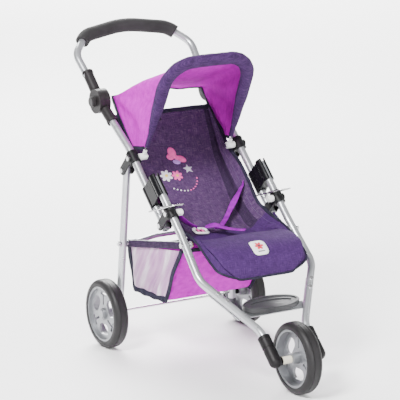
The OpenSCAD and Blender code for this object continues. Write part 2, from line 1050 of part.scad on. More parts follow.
module canopy_hem() {
    ends = [
        bow_at(bow_half, hem_start),
        bow_path[1],
        bow_path[2],
        bow_at(-bow_half, hem_start)
    ];
    color([0.25, 0.15, 0.35])
        difference() {
            bar(ends, bow_bends, hem_d / 2);
            bar(stretched(ends, 2), bow_bends, bow_r);
        }
}

// Rear edge of the canopy: up beside the tube, then across between the hinges
canopy_rear_half = 112;
canopy_rear_y = 98;
canopy_rear_z = 580;
canopy_foot = at(128, -22, 497);
canopy_steps = 10;

// The arch of the bow as an even run of points, for t from 0 to 1 over the left half
function arch_point(corner_half, foot, top, bend, t) =
    let (
        rise = unit(top - foot),
        straight = norm(top - foot) - bend,
        arc = bend * PI / 2,
        flat_run = corner_half - bend,
        d = t * (straight + arc + flat_run),
        phi = (d - straight) / bend * 180 / PI
    )
    d < straight
        ? [corner_half, foot.y, foot.z] + [0, rise.y, rise.z] * d
        : d < straight + arc
            ? [corner_half - bend * (1 - cos(phi)), foot.y, foot.z]
                + [0, rise.y, rise.z] * (straight + bend * sin(phi))
            : [corner_half - bend - (d - straight - arc), top.y, top.z];

function front_arch(t) = arch_point(
    bow_half, bow_at(0, hem_start + 2), bow_at(0, bow_len), bow_bend, t
);
function rear_arch(t) =
    let (
        corner = at(canopy_rear_half, canopy_rear_y, canopy_rear_z),
        split = 0.62
    )
    t < split
        ? lerp(canopy_foot, corner, t / split)
        : lerp(corner, [0, corner.y, corner.z + 6], (t - split) / (1 - split));

// Half an arch mirrored into a whole one, from the left foot to the right foot
function whole(points) = concat(
    points,
    [for (i = [len(points) - 2:-1:0]) [-points[i].x, points[i].y, points[i].z]]
);

module canopy() {
    halves = [
        for (k = [0:4])
            [
                for (i = [0:canopy_steps])
                    let (
                        t = i / canopy_steps,
                        front = front_arch(t),
                        rear = rear_arch(t),
                        run = norm(front - rear)
                    )
                    lerp(rear, front, k / 4 * (1 - (hem_d / 2 + 6) / run))
            ]
    ];
    color([0.75, 0.25, 0.75])
        sheet([for (row = halves) whole(row)], canopy_thick);
}

// ---- seat ----

// Profile of the seat's middle and of its side edges, from the top of the back to
// the crease, as distances along Y and heights
back_mid = [[72, 538], [34, 488], [-10, 430], [-63, 381], [-113, 346], [-158, 325]];
back_edge = [[72, 538], [16, 488], [-30, 456], [-86, 424], [-131, 389], [-172, 352]];
back_half = [113, 110, 104, 96, 87, 80];
base_mid = [[-238, 303], [-270, 305], [-305, 308], [-340, 304], [-372, 294], [-394, 270],
    [-404, 236]];
base_edge = [[-238, 330], [-270, 324], [-309, 312], [-345, 292], [-372, 276],
    [-392, 262], [-400, 250]];
base_half = [84, 92, 100, 104, 102, 92, 64];
base_rim = [122, 122, 121.5, 121.5, 121, 117, 96];
back_rim = 119.5;

// One row across the seat: both rims, both fold lines and the flat middle
function seat_row(mid, edge, half, rim) = [
    at(rim, edge[0], edge[1]),
    at(lerp(half, rim, 0.45), lerp(mid[0], edge[0], 0.4), lerp(mid[1], edge[1], 0.4)),
    at(half, mid[0], mid[1]),
    at(0, mid[0], mid[1]),
    at(-half, mid[0], mid[1]),
    at(-lerp(half, rim, 0.45), lerp(mid[0], edge[0], 0.4), lerp(mid[1], edge[1], 0.4)),
    at(-rim, edge[0], edge[1])
];

module seat_back() {
    color([0.3, 0.2, 0.4])
        sheet(
            [
                for (i = [0:len(back_mid) - 1])
                    seat_row(back_mid[i], back_edge[i], back_half[i], back_rim)
            ],
            seat_thick
        );
}

module seat_base() {
    color([0.3, 0.2, 0.4])
        sheet(
            [
                for (i = [0:len(base_mid) - 1])
                    seat_row(base_mid[i], base_edge[i], base_half[i], base_rim[i])
            ],
            seat_thick
        );
}

// Lap strap with its slider, lying across the seat
module harness() {
    color([0.6, 0.2, 0.7])
        translate(at(-60, -262, 307))
            cube([120, 22, 2.5]);
}

lower_tube(LEFT);  // lower_tube_left
lower_tube(RIGHT);  // lower_tube_right
fork_end(LEFT);  // fork_end_left
fork_end(RIGHT);  // fork_end_right
front_axle();
hub_spacers();
footrest();
footrest_bracket();
footrest_rivets();
lower_clamp(LEFT);  // lower_clamp_left
lower_clamp(RIGHT);  // lower_clamp_right
lower_clamp_bolts();
lower_clamp_knobs();
fold_pivot_bolts();
strut_bolts();
strut_cap_nuts();
tyre(front_wheel_at);  // front_tyre
rim(front_wheel_at);  // front_rim
rear_tyre(LEFT);  // rear_tyre_left
rear_tyre(RIGHT);  // rear_tyre_right
rear_rim(LEFT);  // rear_rim_left
rear_rim(RIGHT);  // rear_rim_right
hub_cap(LEFT);  // hub_cap_left
hub_cap(RIGHT);  // hub_cap_right
rear_leg(LEFT);  // rear_leg_left
rear_leg(RIGHT);  // rear_leg_right
rear_axle();
axle_spacers();
leg_bolts();
strut(LEFT);  // strut_left
strut(RIGHT);  // strut_right
rear_cross_bar();
basket();
upper_tube(LEFT);  // upper_tube_left
upper_tube(RIGHT);  // upper_tube_right
upper_clamp(LEFT);  // upper_clamp_left
upper_clamp(RIGHT);  // upper_clamp_right
upper_clamp_bolts();
leg_pivot_bolts();
hinge_base(LEFT);  // hinge_base_left
hinge_base(RIGHT);  // hinge_base_right
hinge_button(LEFT);  // hinge_button_left
hinge_button(RIGHT);  // hinge_button_right
hinge_arm(LEFT);  // hinge_arm_left
hinge_arm(RIGHT);  // hinge_arm_right
handle_bar();
handle_grip();
lock_sleeve(LEFT);  // lock_sleeve_left
lock_sleeve(RIGHT);  // lock_sleeve_right
sleeve_lips(LEFT);  // sleeve_lips_left
sleeve_lips(RIGHT);  // sleeve_lips_right
bail(LEFT);  // bail_left
bail(RIGHT);  // bail_right
bow_wire();
bow_clips();
canopy_hem();
canopy();
seat_back();
seat_base();
harness();
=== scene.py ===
import json
import math

import bmesh
import bpy
from mathutils import Matrix, Vector, noise
from mathutils.bvhtree import BVHTree


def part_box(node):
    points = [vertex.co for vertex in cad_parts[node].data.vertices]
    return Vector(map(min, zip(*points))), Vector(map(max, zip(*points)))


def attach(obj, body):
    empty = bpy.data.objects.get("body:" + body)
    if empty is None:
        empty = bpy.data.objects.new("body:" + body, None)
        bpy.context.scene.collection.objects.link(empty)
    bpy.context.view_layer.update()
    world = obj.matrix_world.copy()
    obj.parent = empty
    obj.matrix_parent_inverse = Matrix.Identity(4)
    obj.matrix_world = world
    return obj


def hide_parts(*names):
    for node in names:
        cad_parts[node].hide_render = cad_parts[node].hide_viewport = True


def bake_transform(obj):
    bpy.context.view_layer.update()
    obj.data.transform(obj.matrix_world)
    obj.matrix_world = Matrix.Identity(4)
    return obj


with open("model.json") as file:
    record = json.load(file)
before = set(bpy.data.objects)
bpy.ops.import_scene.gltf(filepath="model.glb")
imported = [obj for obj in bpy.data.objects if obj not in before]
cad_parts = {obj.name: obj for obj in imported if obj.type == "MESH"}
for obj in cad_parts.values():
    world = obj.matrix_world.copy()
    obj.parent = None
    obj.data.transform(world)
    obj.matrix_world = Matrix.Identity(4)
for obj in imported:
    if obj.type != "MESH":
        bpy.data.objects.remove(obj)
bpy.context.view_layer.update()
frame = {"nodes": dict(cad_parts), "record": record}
NODES = frame["nodes"]
LOW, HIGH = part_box("rear_axle")
AXLE_Y = (LOW[1] + HIGH[1]) / 2


def at(x, y, z):
    """A point in millimetres, with the rear axle as zero along Y."""
    return Vector((x / 1000, y / 1000 + AXLE_Y, z / 1000))


def lerp(a, b, t):
    return a + (b - a) * t


# ---------------------------------------------------------------- materials

class Mat:
    """A Principled material with short helpers for its nodes."""

    def __init__(self, name, rough=0.6, metal=0.0):
        self.m = bpy.data.materials.new(name)
        self.m.use_nodes = True
        self.t = self.m.node_tree
        self.t.nodes.clear()
        self.out = self.t.nodes.new("ShaderNodeOutputMaterial")
        self.b = self.t.nodes.new("ShaderNodeBsdfPrincipled")
        self.b.inputs["Roughness"].default_value = rough
        self.b.inputs["Metallic"].default_value = metal
        self.link(self.b.outputs[0], self.out.inputs[0])
        self.coord = self.t.nodes.new("ShaderNodeTexCoord")

    def link(self, a, b):
        self.t.links.new(a, b)

    def space(self, which, scale):
        n = self.t.nodes.new("ShaderNodeMapping")
        n.inputs["Scale"].default_value = scale
        self.link(self.coord.outputs[which], n.inputs["Vector"])
        return n.outputs[0]

    def noise(self, vec, scale, detail=3.0, rough=0.55):
        n = self.t.nodes.new("ShaderNodeTexNoise")
        n.inputs["Scale"].default_value = scale
        n.inputs["Detail"].default_value = detail
        n.inputs["Roughness"].default_value = rough
        self.link(vec, n.inputs["Vector"])
        return n.outputs["Fac"]

    def wave(self, vec, scale, axis, distort=0.0):
        n = self.t.nodes.new("ShaderNodeTexWave")
        n.bands_direction = axis
        n.inputs["Scale"].default_value = scale
        n.inputs["Distortion"].default_value = distort
        self.link(vec, n.inputs["Vector"])
        return n.outputs["Fac"]

    def ramp(self, fac, stops):
        n = self.t.nodes.new("ShaderNodeValToRGB")
        e = n.color_ramp.elements
        while len(e) < len(stops):
            e.new(0.5)
        for item, (pos, col) in zip(e, stops):
            item.position = pos
            item.color = (*col, 1.0)
        self.link(fac, n.inputs[0])
        return n.outputs[0]

    def math(self, op, a, b):
        n = self.t.nodes.new("ShaderNodeMath")
        n.operation = op
        for k, v in enumerate((a, b)):
            if isinstance(v, (int, float)):
                n.inputs[k].default_value = v
            else:
                self.link(v, n.inputs[k])
        return n.outputs[0]

    def mix(self, fac, a, b):
        n = self.t.nodes.new("ShaderNodeMix")
        n.data_type = "RGBA"
        self.link(fac, n.inputs[0])
        for k, v in ((6, a), (7, b)):
            if isinstance(v, tuple):
                n.inputs[k].default_value = (*v, 1.0)
            else:
                self.link(v, n.inputs[k])
        return n.outputs[2]

    def bump(self, height, strength, distance):
        n = self.t.nodes.new("ShaderNodeBump")
        n.inputs["Strength"].default_value = strength
        n.inputs["Distance"].default_value = distance
        self.link(height, n.inputs["Height"])
        self.link(n.outputs[0], self.b.inputs["Normal"])


def wave_scale(threads):
    """The wave texture's scale for this many threads to a metre."""
    return threads * math.tau / 20


def shade(col, k):
    return tuple(min(1.0, c * k) for c in col)


def hard(name, col, rough, metal=0.0, grain=900.0, relief=0.00005, vary=0.12, coat=0.0, wear=None,
         spec=0.5):
    """Painted, plated or moulded surface: fine grain, uneven sheen and light scuffs."""
    m = Mat(name, rough, metal)
    vec = m.space("Object", (1, 1, 1))
    wide = m.noise(vec, 14.0, 4.0)
    base = m.ramp(wide, [(0.3, shade(col, 1 - vary)), (0.7, shade(col, 1 + vary))])
    if wear:
        scuff = m.ramp(m.noise(vec, 120.0, 8.0, 0.72), [(0.66, (0, 0, 0)), (0.74, (1, 1, 1))])
        base = m.mix(scuff, base, wear)
    m.link(base, m.b.inputs["Base Color"])
    m.link(m.math("ADD", m.math("MULTIPLY", m.noise(vec, 45.0, 5.0), 0.22), rough - 0.11),
           m.b.inputs["Roughness"])
    m.b.inputs["Specular IOR Level"].default_value = spec
    m.b.inputs["Coat Weight"].default_value = coat
    m.b.inputs["Coat Roughness"].default_value = 0.15
    m.bump(m.noise(vec, grain, 2.0), 0.35, relief)
    return m.m


def cloth(name, cols, threads=900.0, heather=0.5, relief=0.00025, sheen=0.35, uv=True, rough=0.85,
          spec=0.25):
    """Woven cloth: crossing threads, heathered colour and soft wear."""
    m = Mat(name, rough)
    src = "UV" if uv else "Object"
    plain = m.space(src, (1, 1, 1))
    step = wave_scale(threads)
    warp = m.wave(plain, step, "X", 0.4)
    weft = m.wave(plain, step, "Y", 0.4)
    long_a = m.noise(m.space(src, (60, 900, 60)), 1.0, 2.0)
    long_b = m.noise(m.space(src, (900, 60, 900)), 1.0, 2.0)
    slub = m.math("MULTIPLY", m.math("ADD", long_a, long_b), 0.5)
    blot = m.noise(plain, 60.0, 6.0)
    tone = m.math("ADD", m.math("MULTIPLY", slub, heather), m.math("MULTIPLY", blot, 1 - heather))
    m.link(m.ramp(tone, [(0.36, cols[0]), (0.5, cols[1]), (0.66, cols[2])]), m.b.inputs["Base Color"])
    m.b.inputs["Specular IOR Level"].default_value = spec
    m.b.inputs["Sheen Weight"].default_value = sheen
    m.b.inputs["Sheen Roughness"].default_value = 0.5
    m.b.inputs["Sheen Tint"].default_value = (*shade(cols[2], 1.6), 1.0)
    m.bump(m.math("ADD", m.math("MAXIMUM", warp, weft), m.math("MULTIPLY", slub, 1.5)), 0.5, relief)
    return m.m


SILVER = hard("powder_silver", (0.46, 0.47, 0.49), rough=0.30, metal=0.75, grain=1400, relief=0.00004,
              vary=0.06, coat=0.3, wear=(0.36, 0.36, 0.37))
STEEL = hard("bare_steel", (0.62, 0.62, 0.63), rough=0.25, metal=1.0, grain=700, relief=0.00003, vary=0.08)
BRASS = hard("brass", (0.66, 0.47, 0.18), rough=0.3, metal=1.0, grain=600, relief=0.00003, vary=0.1)
DARK = hard("dark_plastic", (0.009, 0.009, 0.010), rough=0.4, grain=1600, relief=0.00008, vary=0.15,
            wear=(0.05, 0.05, 0.052), spec=0.15)
GLOSS = hard("gloss_black", (0.004, 0.004, 0.005), rough=0.24, grain=300, relief=0.00004, vary=0.15,
             wear=(0.012, 0.012, 0.013), spec=0.18)
GREY = hard("grey_plastic", (0.015, 0.013, 0.014), rough=0.42, grain=1400, relief=0.00007, vary=0.15,
            wear=(0.035, 0.033, 0.033), spec=0.25)
WHITE = hard("white_plastic", (0.78, 0.78, 0.77), rough=0.35, relief=0.00004, vary=0.03, coat=0.2)
BOOT = hard("boot_rubber", (0.007, 0.006, 0.007), rough=0.48, grain=1500, relief=0.0001, vary=0.2,
            wear=(0.02, 0.02, 0.021), spec=0.2)
CREAM = hard("cream_plastic", (0.72, 0.67, 0.54), rough=0.5, relief=0.00006, vary=0.05)
RIM = hard("rim_grey", (0.22, 0.225, 0.24), rough=0.34, metal=0.5, grain=1200, relief=0.00004, vary=0.05,
           coat=0.2)
CAP = hard("cap_grey", (0.022, 0.020, 0.021), rough=0.4, metal=0.1, grain=1200, relief=0.00006, vary=0.08,
           spec=0.4)
TREAD_GREY = hard("footrest_grey", (0.040, 0.040, 0.043), rough=0.38, grain=1100, relief=0.0001, vary=0.1,
                  wear=(0.07, 0.07, 0.074), spec=0.4)
TYRE = hard("tyre_foam", (0.011, 0.010, 0.011), rough=0.5, grain=1500, relief=0.0002, vary=0.25,
            wear=(0.022, 0.021, 0.021), spec=0.3)
FOAM = hard("grip_foam", (0.012, 0.011, 0.012), rough=0.9, relief=0.0006, vary=0.3)
# The back panel's greyer heather is its own colour; its lighter tones are painted light that offsets the
# canopy's shadow on the upper back
DENIM_BACK_PAINTED_LIGHT = cloth("back_denim_painted_light", [(0.024, 0.009, 0.040), (0.050, 0.020, 0.074), (0.130, 0.080, 0.140)],
                   threads=700, heather=0.9, sheen=0.05)
PAD = cloth("pad_denim", [(0.014, 0.003, 0.027), (0.032, 0.009, 0.058), (0.072, 0.030, 0.110)], threads=800,
            heather=0.85, relief=0.00006, sheen=0.05, uv=False)
DENIM = cloth("purple_denim", [(0.018, 0.004, 0.038), (0.036, 0.009, 0.072), (0.068, 0.026, 0.118)],
              threads=800, heather=0.85, sheen=0.05)
GUSSET = cloth("gusset_denim", [(0.009, 0.003, 0.015), (0.020, 0.008, 0.032), (0.050, 0.027, 0.066)],
               threads=800, heather=0.85, sheen=0.05)
LINING = cloth("inner_denim", [(0.012, 0.004, 0.028), (0.028, 0.010, 0.062), (0.08, 0.045, 0.14)],
               threads=800, heather=0.85, sheen=0.05)
MAGENTA = cloth("magenta_cloth", [(0.30, 0.0005, 0.29), (0.42, 0.001, 0.40), (0.55, 0.003, 0.50)],
                threads=1100, relief=0.00012, sheen=0, spec=0.05)
WEB = cloth("strap_web", [(0.14, 0.0005, 0.20), (0.22, 0.001, 0.30), (0.32, 0.003, 0.40)], threads=600,
            heather=0.4, relief=0.0004, sheen=0, spec=0.1)
BIND = cloth("navy_binding", [(0.006, 0.005, 0.012), (0.012, 0.010, 0.024), (0.025, 0.021, 0.045)],
             threads=1200, heather=0.4, relief=0.0002, sheen=0.05)
VELCRO = cloth("hook_tape", [(0.004, 0.004, 0.006), (0.009, 0.008, 0.012), (0.02, 0.02, 0.03)],
               threads=1500, heather=0.8, relief=0.0005, sheen=0.3)
THREAD = cloth("thread", [(0.10, 0.07, 0.16), (0.16, 0.12, 0.24), (0.22, 0.18, 0.32)], threads=2500,
               relief=0.0001, sheen=0.3)
LABEL = cloth("label_rubber", [(0.72, 0.70, 0.72), (0.80, 0.78, 0.80), (0.88, 0.86, 0.88)], threads=1500,
              heather=0.2, relief=0.0001, sheen=0.1, rough=0.5)


def satin(name, col):
    """Shiny embroidery thread in one colour."""
    return cloth(name, [shade(col, 0.75), col, shade(col, 1.2)], threads=1600, heather=0.7, relief=0.0003,
                 sheen=0.1, rough=0.5, spec=0.3)


LABEL_RED = satin("label_red", (0.62, 0.03, 0.06))
LABEL_GREY = satin("label_grey", (0.06, 0.055, 0.07))
PETAL_WHITE = satin("thread_white", (0.70, 0.68, 0.72))
PETAL_PINK = satin("thread_pink", (0.78, 0.10, 0.36))
LILAC = satin("thread_lilac", (0.42, 0.22, 0.60))
STAR = satin("thread_silver", (0.50, 0.50, 0.56))
YELLOW = satin("thread_yellow", (0.75, 0.55, 0.10))


def mesh_cloth():
    """Open net: pale pink threads with see-through gaps, streaked near-white as a painted highlight."""
    m = Mat("basket_net", 0.8)
    vec = m.space("UV", (1, 1, 1))
    step = wave_scale(330)
    net = m.math("MAXIMUM", m.wave(vec, step, "X", 0.3), m.wave(vec, step, "Y", 0.3))
    tone = m.noise(m.space("UV", (26, 5, 1)), 1.0, 3.0)
    # The pink stops are the net's own colour; the near-white top stop is a painted highlight along the
    # streaks
    pink_tints_and_painted_highlights = [(0.36, (0.34, 0.10, 0.34)), (0.5, (0.50, 0.26, 0.48)), (0.66, (0.88, 0.82, 0.88))]
    m.link(m.ramp(tone, pink_tints_and_painted_highlights), m.b.inputs["Base Color"])
    hole = m.ramp(net, [(0.30, (0.22, 0.22, 0.22)), (0.60, (0.92, 0.92, 0.92))])
    m.link(hole, m.b.inputs["Alpha"])
    m.b.inputs["Sheen Weight"].default_value = 0.4
    m.bump(net, 0.6, 0.0004)
    return m.m


NET = mesh_cloth()

# Which finish each CAD node gets, by the start of its name; the longest match wins
PAINT = {
    "lower_tube": SILVER, "upper_tube": SILVER, "rear_leg": SILVER, "handle_bar": SILVER,
    "strut_left": SILVER, "strut_right": SILVER, "footrest_bracket": SILVER, "rear_cross_bar": SILVER,
    "front_axle": STEEL, "rear_axle": STEEL, "footrest_rivets": STEEL, "strut_cap_nuts": BRASS,
    "lower_clamp_knobs": WHITE, "bow_clips": WHITE, "lower_clamp_bolts": STEEL,
    "upper_clamp_bolts": STEEL, "lower_clamp": DARK, "upper_clamp": DARK, "fold_pivot_bolts": STEEL,
    "strut_bolts": STEEL, "leg_pivot_bolts": STEEL, "leg_bolts": STEEL, "bail": STEEL, "bow_wire": STEEL,
    "hub_spacers": CREAM, "axle_spacers": GLOSS, "fork_end": BOOT, "lock_sleeve": GLOSS,
    "sleeve_lips": GLOSS, "hinge_base": GREY, "hinge_arm": GREY, "hinge_button": CAP, "handle_grip": FOAM,
    "hub_cap": RIM, "front_tyre": TYRE, "rear_tyre": TYRE, "front_rim": RIM, "rear_rim": RIM,
    "footrest": TREAD_GREY,
}
for name, obj in NODES.items():
    keys = [k for k in PAINT if name.startswith(k)]
    if keys:
        obj.data.materials.clear()
        obj.data.materials.append(PAINT[max(keys, key=len)])

# ---------------------------------------------------------------- mesh helpers


def catmull(pts, k):
    """A smooth run through the points, with k steps between neighbours."""
    ext = [pts[0] * 2 - pts[1], *pts, pts[-1] * 2 - pts[-2]]
    out = []
    for i in range(1, len(ext) - 2):
        a, b, c, d = ext[i - 1:i + 3]
        for s in range(k):
            t = s / k
            out.append(0.5 * (2 * b + (c - a) * t + (2 * a - 5 * b + 4 * c - d) * t * t
                              + (3 * b - a - 3 * c + d) * t ** 3))
    out.append(pts[-1].copy())
    return out


def add_mesh(name, bm, mats):
    """Puts a finished bmesh in the scene as a smooth-shaded object."""
    me = bpy.data.meshes.new(name)
    bm.to_mesh(me)
    bm.free()
    for m in mats if isinstance(mats, (list, tuple)) else [mats]:
        me.materials.append(m)
    me.polygons.foreach_set("use_smooth", [True] * len(me.polygons))
    ob = bpy.data.objects.new(name, me)
    bpy.context.scene.collection.objects.link(ob)
    return ob


def add_closed(name, bm, mat, body=None):
    """Adds a closed shape, with its normals outward and riding on a body where one is named."""
    bmesh.ops.recalc_face_normals(bm, faces=bm.faces)
    ob = add_mesh(name, bm, mat)
    if body:
        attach(ob, body)
    return ob


def round_off(ob):
    """Smooths a piece by one level of subdivision."""
    sub = ob.modifiers.new("round", "SUBSURF")
    sub.levels = sub.render_levels = 1


def grid(name, rows, mats, thick, pick=None, closed=False):
    """A cloth sheet through a grid of points, with its UV map in metres."""
    bm = bmesh.new()
    uv = bm.loops.layers.uv.new("UVMap")
    verts = [[bm.verts.new(p) for p in row] for row in rows]
    n = len(rows[0])
    us = [[0.0] for _ in rows]
    for i, row in enumerate(rows):
        for j in range(1, n + (1 if closed else 0)):
            us[i].append(us[i][-1] + (row[j % n] - row[j - 1]).length)
    vs = [0.0]
    for i in range(1, len(rows)):
        vs.append(vs[-1] + (rows[i][n // 2] - rows[i - 1][n // 2]).length)
    for i in range(len(rows) - 1):
        for j in range(n if closed else n - 1):
            k = (j + 1) % n
            f = bm.faces.new((verts[i][j], verts[i][k], verts[i + 1][k], verts[i + 1][j]))
            for loop, (a, b) in zip(f.loops, ((i, j), (i, j + 1), (i + 1, j + 1), (i + 1, j))):
                loop[uv].uv = (us[a][b] - us[a][-1] / 2, vs[a])
            if pick:
                f.material_index = pick(i, j)
    ob = add_mesh(name, bm, mats)
    solid = ob.modifiers.new("thickness", "SOLIDIFY")
    solid.thickness = thick
    solid.offset = -1
    round_off(ob)
    return ob


def sweep(name, pts, sides, hw, ht, mat, n=12, power=3.0, swell=None):
    """A closed band along a path: sides is its width direction, hw and ht half its width and thickness."""
    bm = bmesh.new()
    uv = bm.loops.layers.uv.new("UVMap")
    rings = []
    run = 0.0
    runs = []
    for i, p in enumerate(pts):
        t = (pts[min(i + 1, len(pts) - 1)] - pts[max(i - 1, 0)]).normalized()
        side = sides[i] if isinstance(sides, list) else sides
        w = (side - t * side.dot(t)).normalized()
        h = t.cross(w)
        k = swell(i / (len(pts) - 1)) if swell else 1.0
        ring = []
        for a in range(n):
            c, s = math.cos(a * math.tau / n), math.sin(a * math.tau / n)
            c = math.copysign(abs(c) ** (2 / power), c)
            s = math.copysign(abs(s) ** (2 / power), s)
            ring.append(bm.verts.new(p + w * (hw * k * c) + h * (ht * k * s)))
        rings.append(ring)
        if i:
            run += (p - pts[i - 1]).length
        runs.append(run)
    for i in range(len(rings) - 1):
        for a in range(n):
            b = (a + 1) % n
            f = bm.faces.new((rings[i][a], rings[i][b], rings[i + 1][b], rings[i + 1][a]))
            for loop, (r, q) in zip(f.loops, ((i, a), (i, a + 1), (i + 1, a + 1), (i + 1, a))):
                loop[uv].uv = (runs[r], q / n * 2 * (hw + ht))
    bm.faces.new(rings[0][::-1])
    bm.faces.new(rings[-1])
    return add_closed(name, bm, mat)


def rope(name, pts, r, mat, n=8):
    side = Vector((0.31, 0.42, 0.85))
    return sweep(name, pts, side, r, r, mat, n, 2.0)


def stitches(name, pts, ups, mat, pitch=0.0042, length=0.0026, r=0.0004):
    """A row of separate stitches that follows a path."""
    bm = bmesh.new()
    left = 0.0
    for i in range(len(pts) - 1):
        seg = pts[i + 1] - pts[i]
        size = seg.length
        if size < 1e-6:
            continue
        t = seg / size
        up = (ups[i] - t * ups[i].dot(t)).normalized()
        side = t.cross(up)
        d = left
        while d < size:
            c = pts[i] + t * d + up * r
            ends = [bm.verts.new(c + t * (k * length / 2)) for k in (-1, 1)]
            ring = [bm.verts.new(c + up * (r * a) + side * (r * b))
                    for a, b in ((1, 0), (0, 1), (-1, 0), (0, -1))]
            for k in range(4):
                bm.faces.new((ends[0], ring[k], ring[(k + 1) % 4]))
                bm.faces.new((ends[1], ring[(k + 1) % 4], ring[k]))
            d += pitch
        left = d - size
    return add_closed(name, bm, mat)


def wrinkle(p, scale, seed):
    return noise.noise(p * scale + Vector((seed, seed * 1.7, -seed)))

# ---------------------------------------------------------------- camera, light and floor


def camera():
    turn, tilt, roll = (math.radians(a) for a in (30.59, 13.65, -0.45))
    ahead = Vector((math.sin(turn) * math.cos(tilt), math.cos(turn) * math.cos(tilt), -math.sin(tilt)))
    right = Vector((math.cos(turn), -math.sin(turn), 0))
    up = right.cross(ahead)
    x = right * math.cos(roll) + up * math.sin(roll)
    y = up * math.cos(roll) - right * math.sin(roll)
    data = bpy.data.cameras.new("camera")
    data.lens = 211.4
    data.sensor_width = 36
    data.clip_end = 50
    ob = bpy.data.objects.new("camera", data)
    place = Matrix.Translation(at(-2716.0, -4709.7, 1652.4))
    ob.matrix_world = place @ Matrix((x, y, -ahead)).transposed().to_4x4()
    bpy.context.scene.collection.objects.link(ob)
    bpy.context.scene.camera = ob


def lamp(name, place, size, power, aim):
    data = bpy.data.lights.new(name, "AREA")
    data.shape = "DISK"
    data.size = size
    data.energy = power
    ob = bpy.data.objects.new(name, data)
    ob.location = place
    ob.rotation_euler = (Vector(aim) - Vector(place)).to_track_quat("-Z", "Y").to_euler()
    bpy.context.scene.collection.objects.link(ob)


camera()
lamp("key", (-2.4, -1.2, 3.0), 1.2, 300, (0, 0, 0.35))
lamp("front", (-1.0, -3.4, 0.95), 1.0, 85, (0, 0, 0.5))
lamp("fill", (2.6, -2.2, 1.8), 2.6, 50, (0, 0, 0.35))
lamp("backdrop", (3.2, 6.0, 4.2), 5.0, 1500, (3.2, 6.0, 0))
lamp("back", (0.6, 2.8, 2.6), 2.0, 260, (0, 0, 0.4))
world = bpy.data.worlds.new("studio")
world.use_nodes = True
world.node_tree.nodes["Background"].inputs[0].default_value = (1, 1, 1, 1)
world.node_tree.nodes["Background"].inputs[1].default_value = 0.56
bpy.context.scene.world = world

floor_mat = Mat("floor", 0.75)
floor_mat.link(floor_mat.ramp(floor_mat.noise(floor_mat.space("Object", (1, 1, 1)), 2.0), [
    (0.2, (0.96, 0.96, 0.96)), (0.8, (0.97, 0.97, 0.97))]), floor_mat.b.inputs["Base Color"])
bm = bmesh.new()
bmesh.ops.create_grid(bm, x_segments=2, y_segments=2, size=6)
floor = add_closed("floor", bm, floor_mat.m)
floor.location.z = -0.0005

# ---------------------------------------------------------------- seat

# The sling from the top of the back to the front hem. Each row holds the middle's y and z, the side edges'
# y and z, half the width of the flat middle, and half the width at the edges
SEAT = [
    (60, 538, 44, 541, 116, 129), (28, 488, 4, 492, 111, 128), (-10, 430, -34, 456, 104, 127),
    (-63, 381, -86, 424, 96, 127), (-113, 346, -131, 389, 87, 124), (-158, 325, -172, 352, 80, 121),
    (-197, 306, -206, 339, 79, 120.5), (-238, 297, -240, 329, 84, 121), (-270, 301, -270, 323, 92, 122),
    (-305, 308, -309, 311, 100, 123), (-340, 306, -345, 292, 104, 124), (-372, 295, -372, 276, 102, 123),
    (-395, 270, -391, 262, 92, 117), (-404, 240, -400, 252, 62, 98),
]
ALONG, ACROSS = 6, 7


def seat_rows():
    """The seat's upper face as rows of points, with its seams, creases and padded front."""
    cols = [[] for _ in range(7)]
    for my, mz, ey, ez, half, rim in SEAT:
        wing = (lerp(half, rim, 0.45), lerp(my, ey, 0.4), lerp(mz, ez, 0.4))
        line = [(rim, ey, ez), wing, (half, my, mz), (0, my, mz)]
        line += [(-x, y, z) for x, y, z in line[2::-1]]
        for c, p in zip(cols, line):
            c.append(at(*p))
    cols = [catmull(c, ALONG) for c in cols]
    rows = [catmull([c[i] for c in cols], ACROSS) for i in range(len(cols[0]))]
    out = []
    for i, row in enumerate(rows):
        line = []
        for j, p in enumerate(row):
            a = rows[max(i - 1, 0)][j] - rows[min(i + 1, len(rows) - 1)][j]
            b = row[max(j - 1, 0)] - row[min(j + 1, len(row) - 1)]
            n = b.cross(a).normalized()
            n = n if n.z > 0 else -n
            d = 0.0022 * wrinkle(p, 22, 3.1) + 0.0008 * wrinkle(p, 70, 8.3)
            seam_depth = 0.0035 * max(0.0, min(1.0, 7.6 - i / ALONG))
            for seam in (2 * ACROSS, 4 * ACROSS):
                d -= seam_depth * math.exp(-((j - seam) / 1.2) ** 2)
            crease = math.exp(-((i - 5.6 * ALONG) / 5) ** 2)
            d += crease * 0.0028 * math.sin(p.x * 160 + 2 * wrinkle(p, 20, 5.0))
            lobe = max(0.0, math.sin(math.pi * (i / ALONG - 7.6) / 5.6)) if i > 7.6 * ALONG else 0.0
            d += 0.007 * math.sqrt(lobe) * math.cos(max(-1, min(1, (j / ACROSS - 3) / 3)) * math.pi / 2)
            edge = min(1.0, min(j, len(row) - 1 - j) / 8)
            line.append(p + n * d * edge * edge * (3 - 2 * edge))
        out.append(line)
    return out


def on_seat(ob):
    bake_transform(ob)
    return ob


rows = seat_rows()


def seat_cloth(i, j):
    """Heathered back with its tones lightened as painted light against the canopy's shadow, dark gusset
    bands beside it, plain denim in front.
    """
    if i > 6.2 * ALONG:
        return 1
    return 2 if min(j, 6 * ACROSS - 1 - j) in range(ACROSS, 2 * ACROSS) else 0


seat = grid("seat", rows, [DENIM_BACK_PAINTED_LIGHT, DENIM, GUSSET, LINING, LINING, LINING], 0.0035, pick=seat_cloth)
seat.modifiers["thickness"].material_offset = 3
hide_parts("seat_back", "seat_base")
on_seat(seat)
n_cols = len(rows[0])
quads = [(k, k + 1, k + 1 + n_cols, k + n_cols)
         for i in range(len(rows) - 1) for k in range(i * n_cols, (i + 1) * n_cols - 1)]
SKIN = BVHTree.FromPolygons([p for row in rows for p in row], quads)


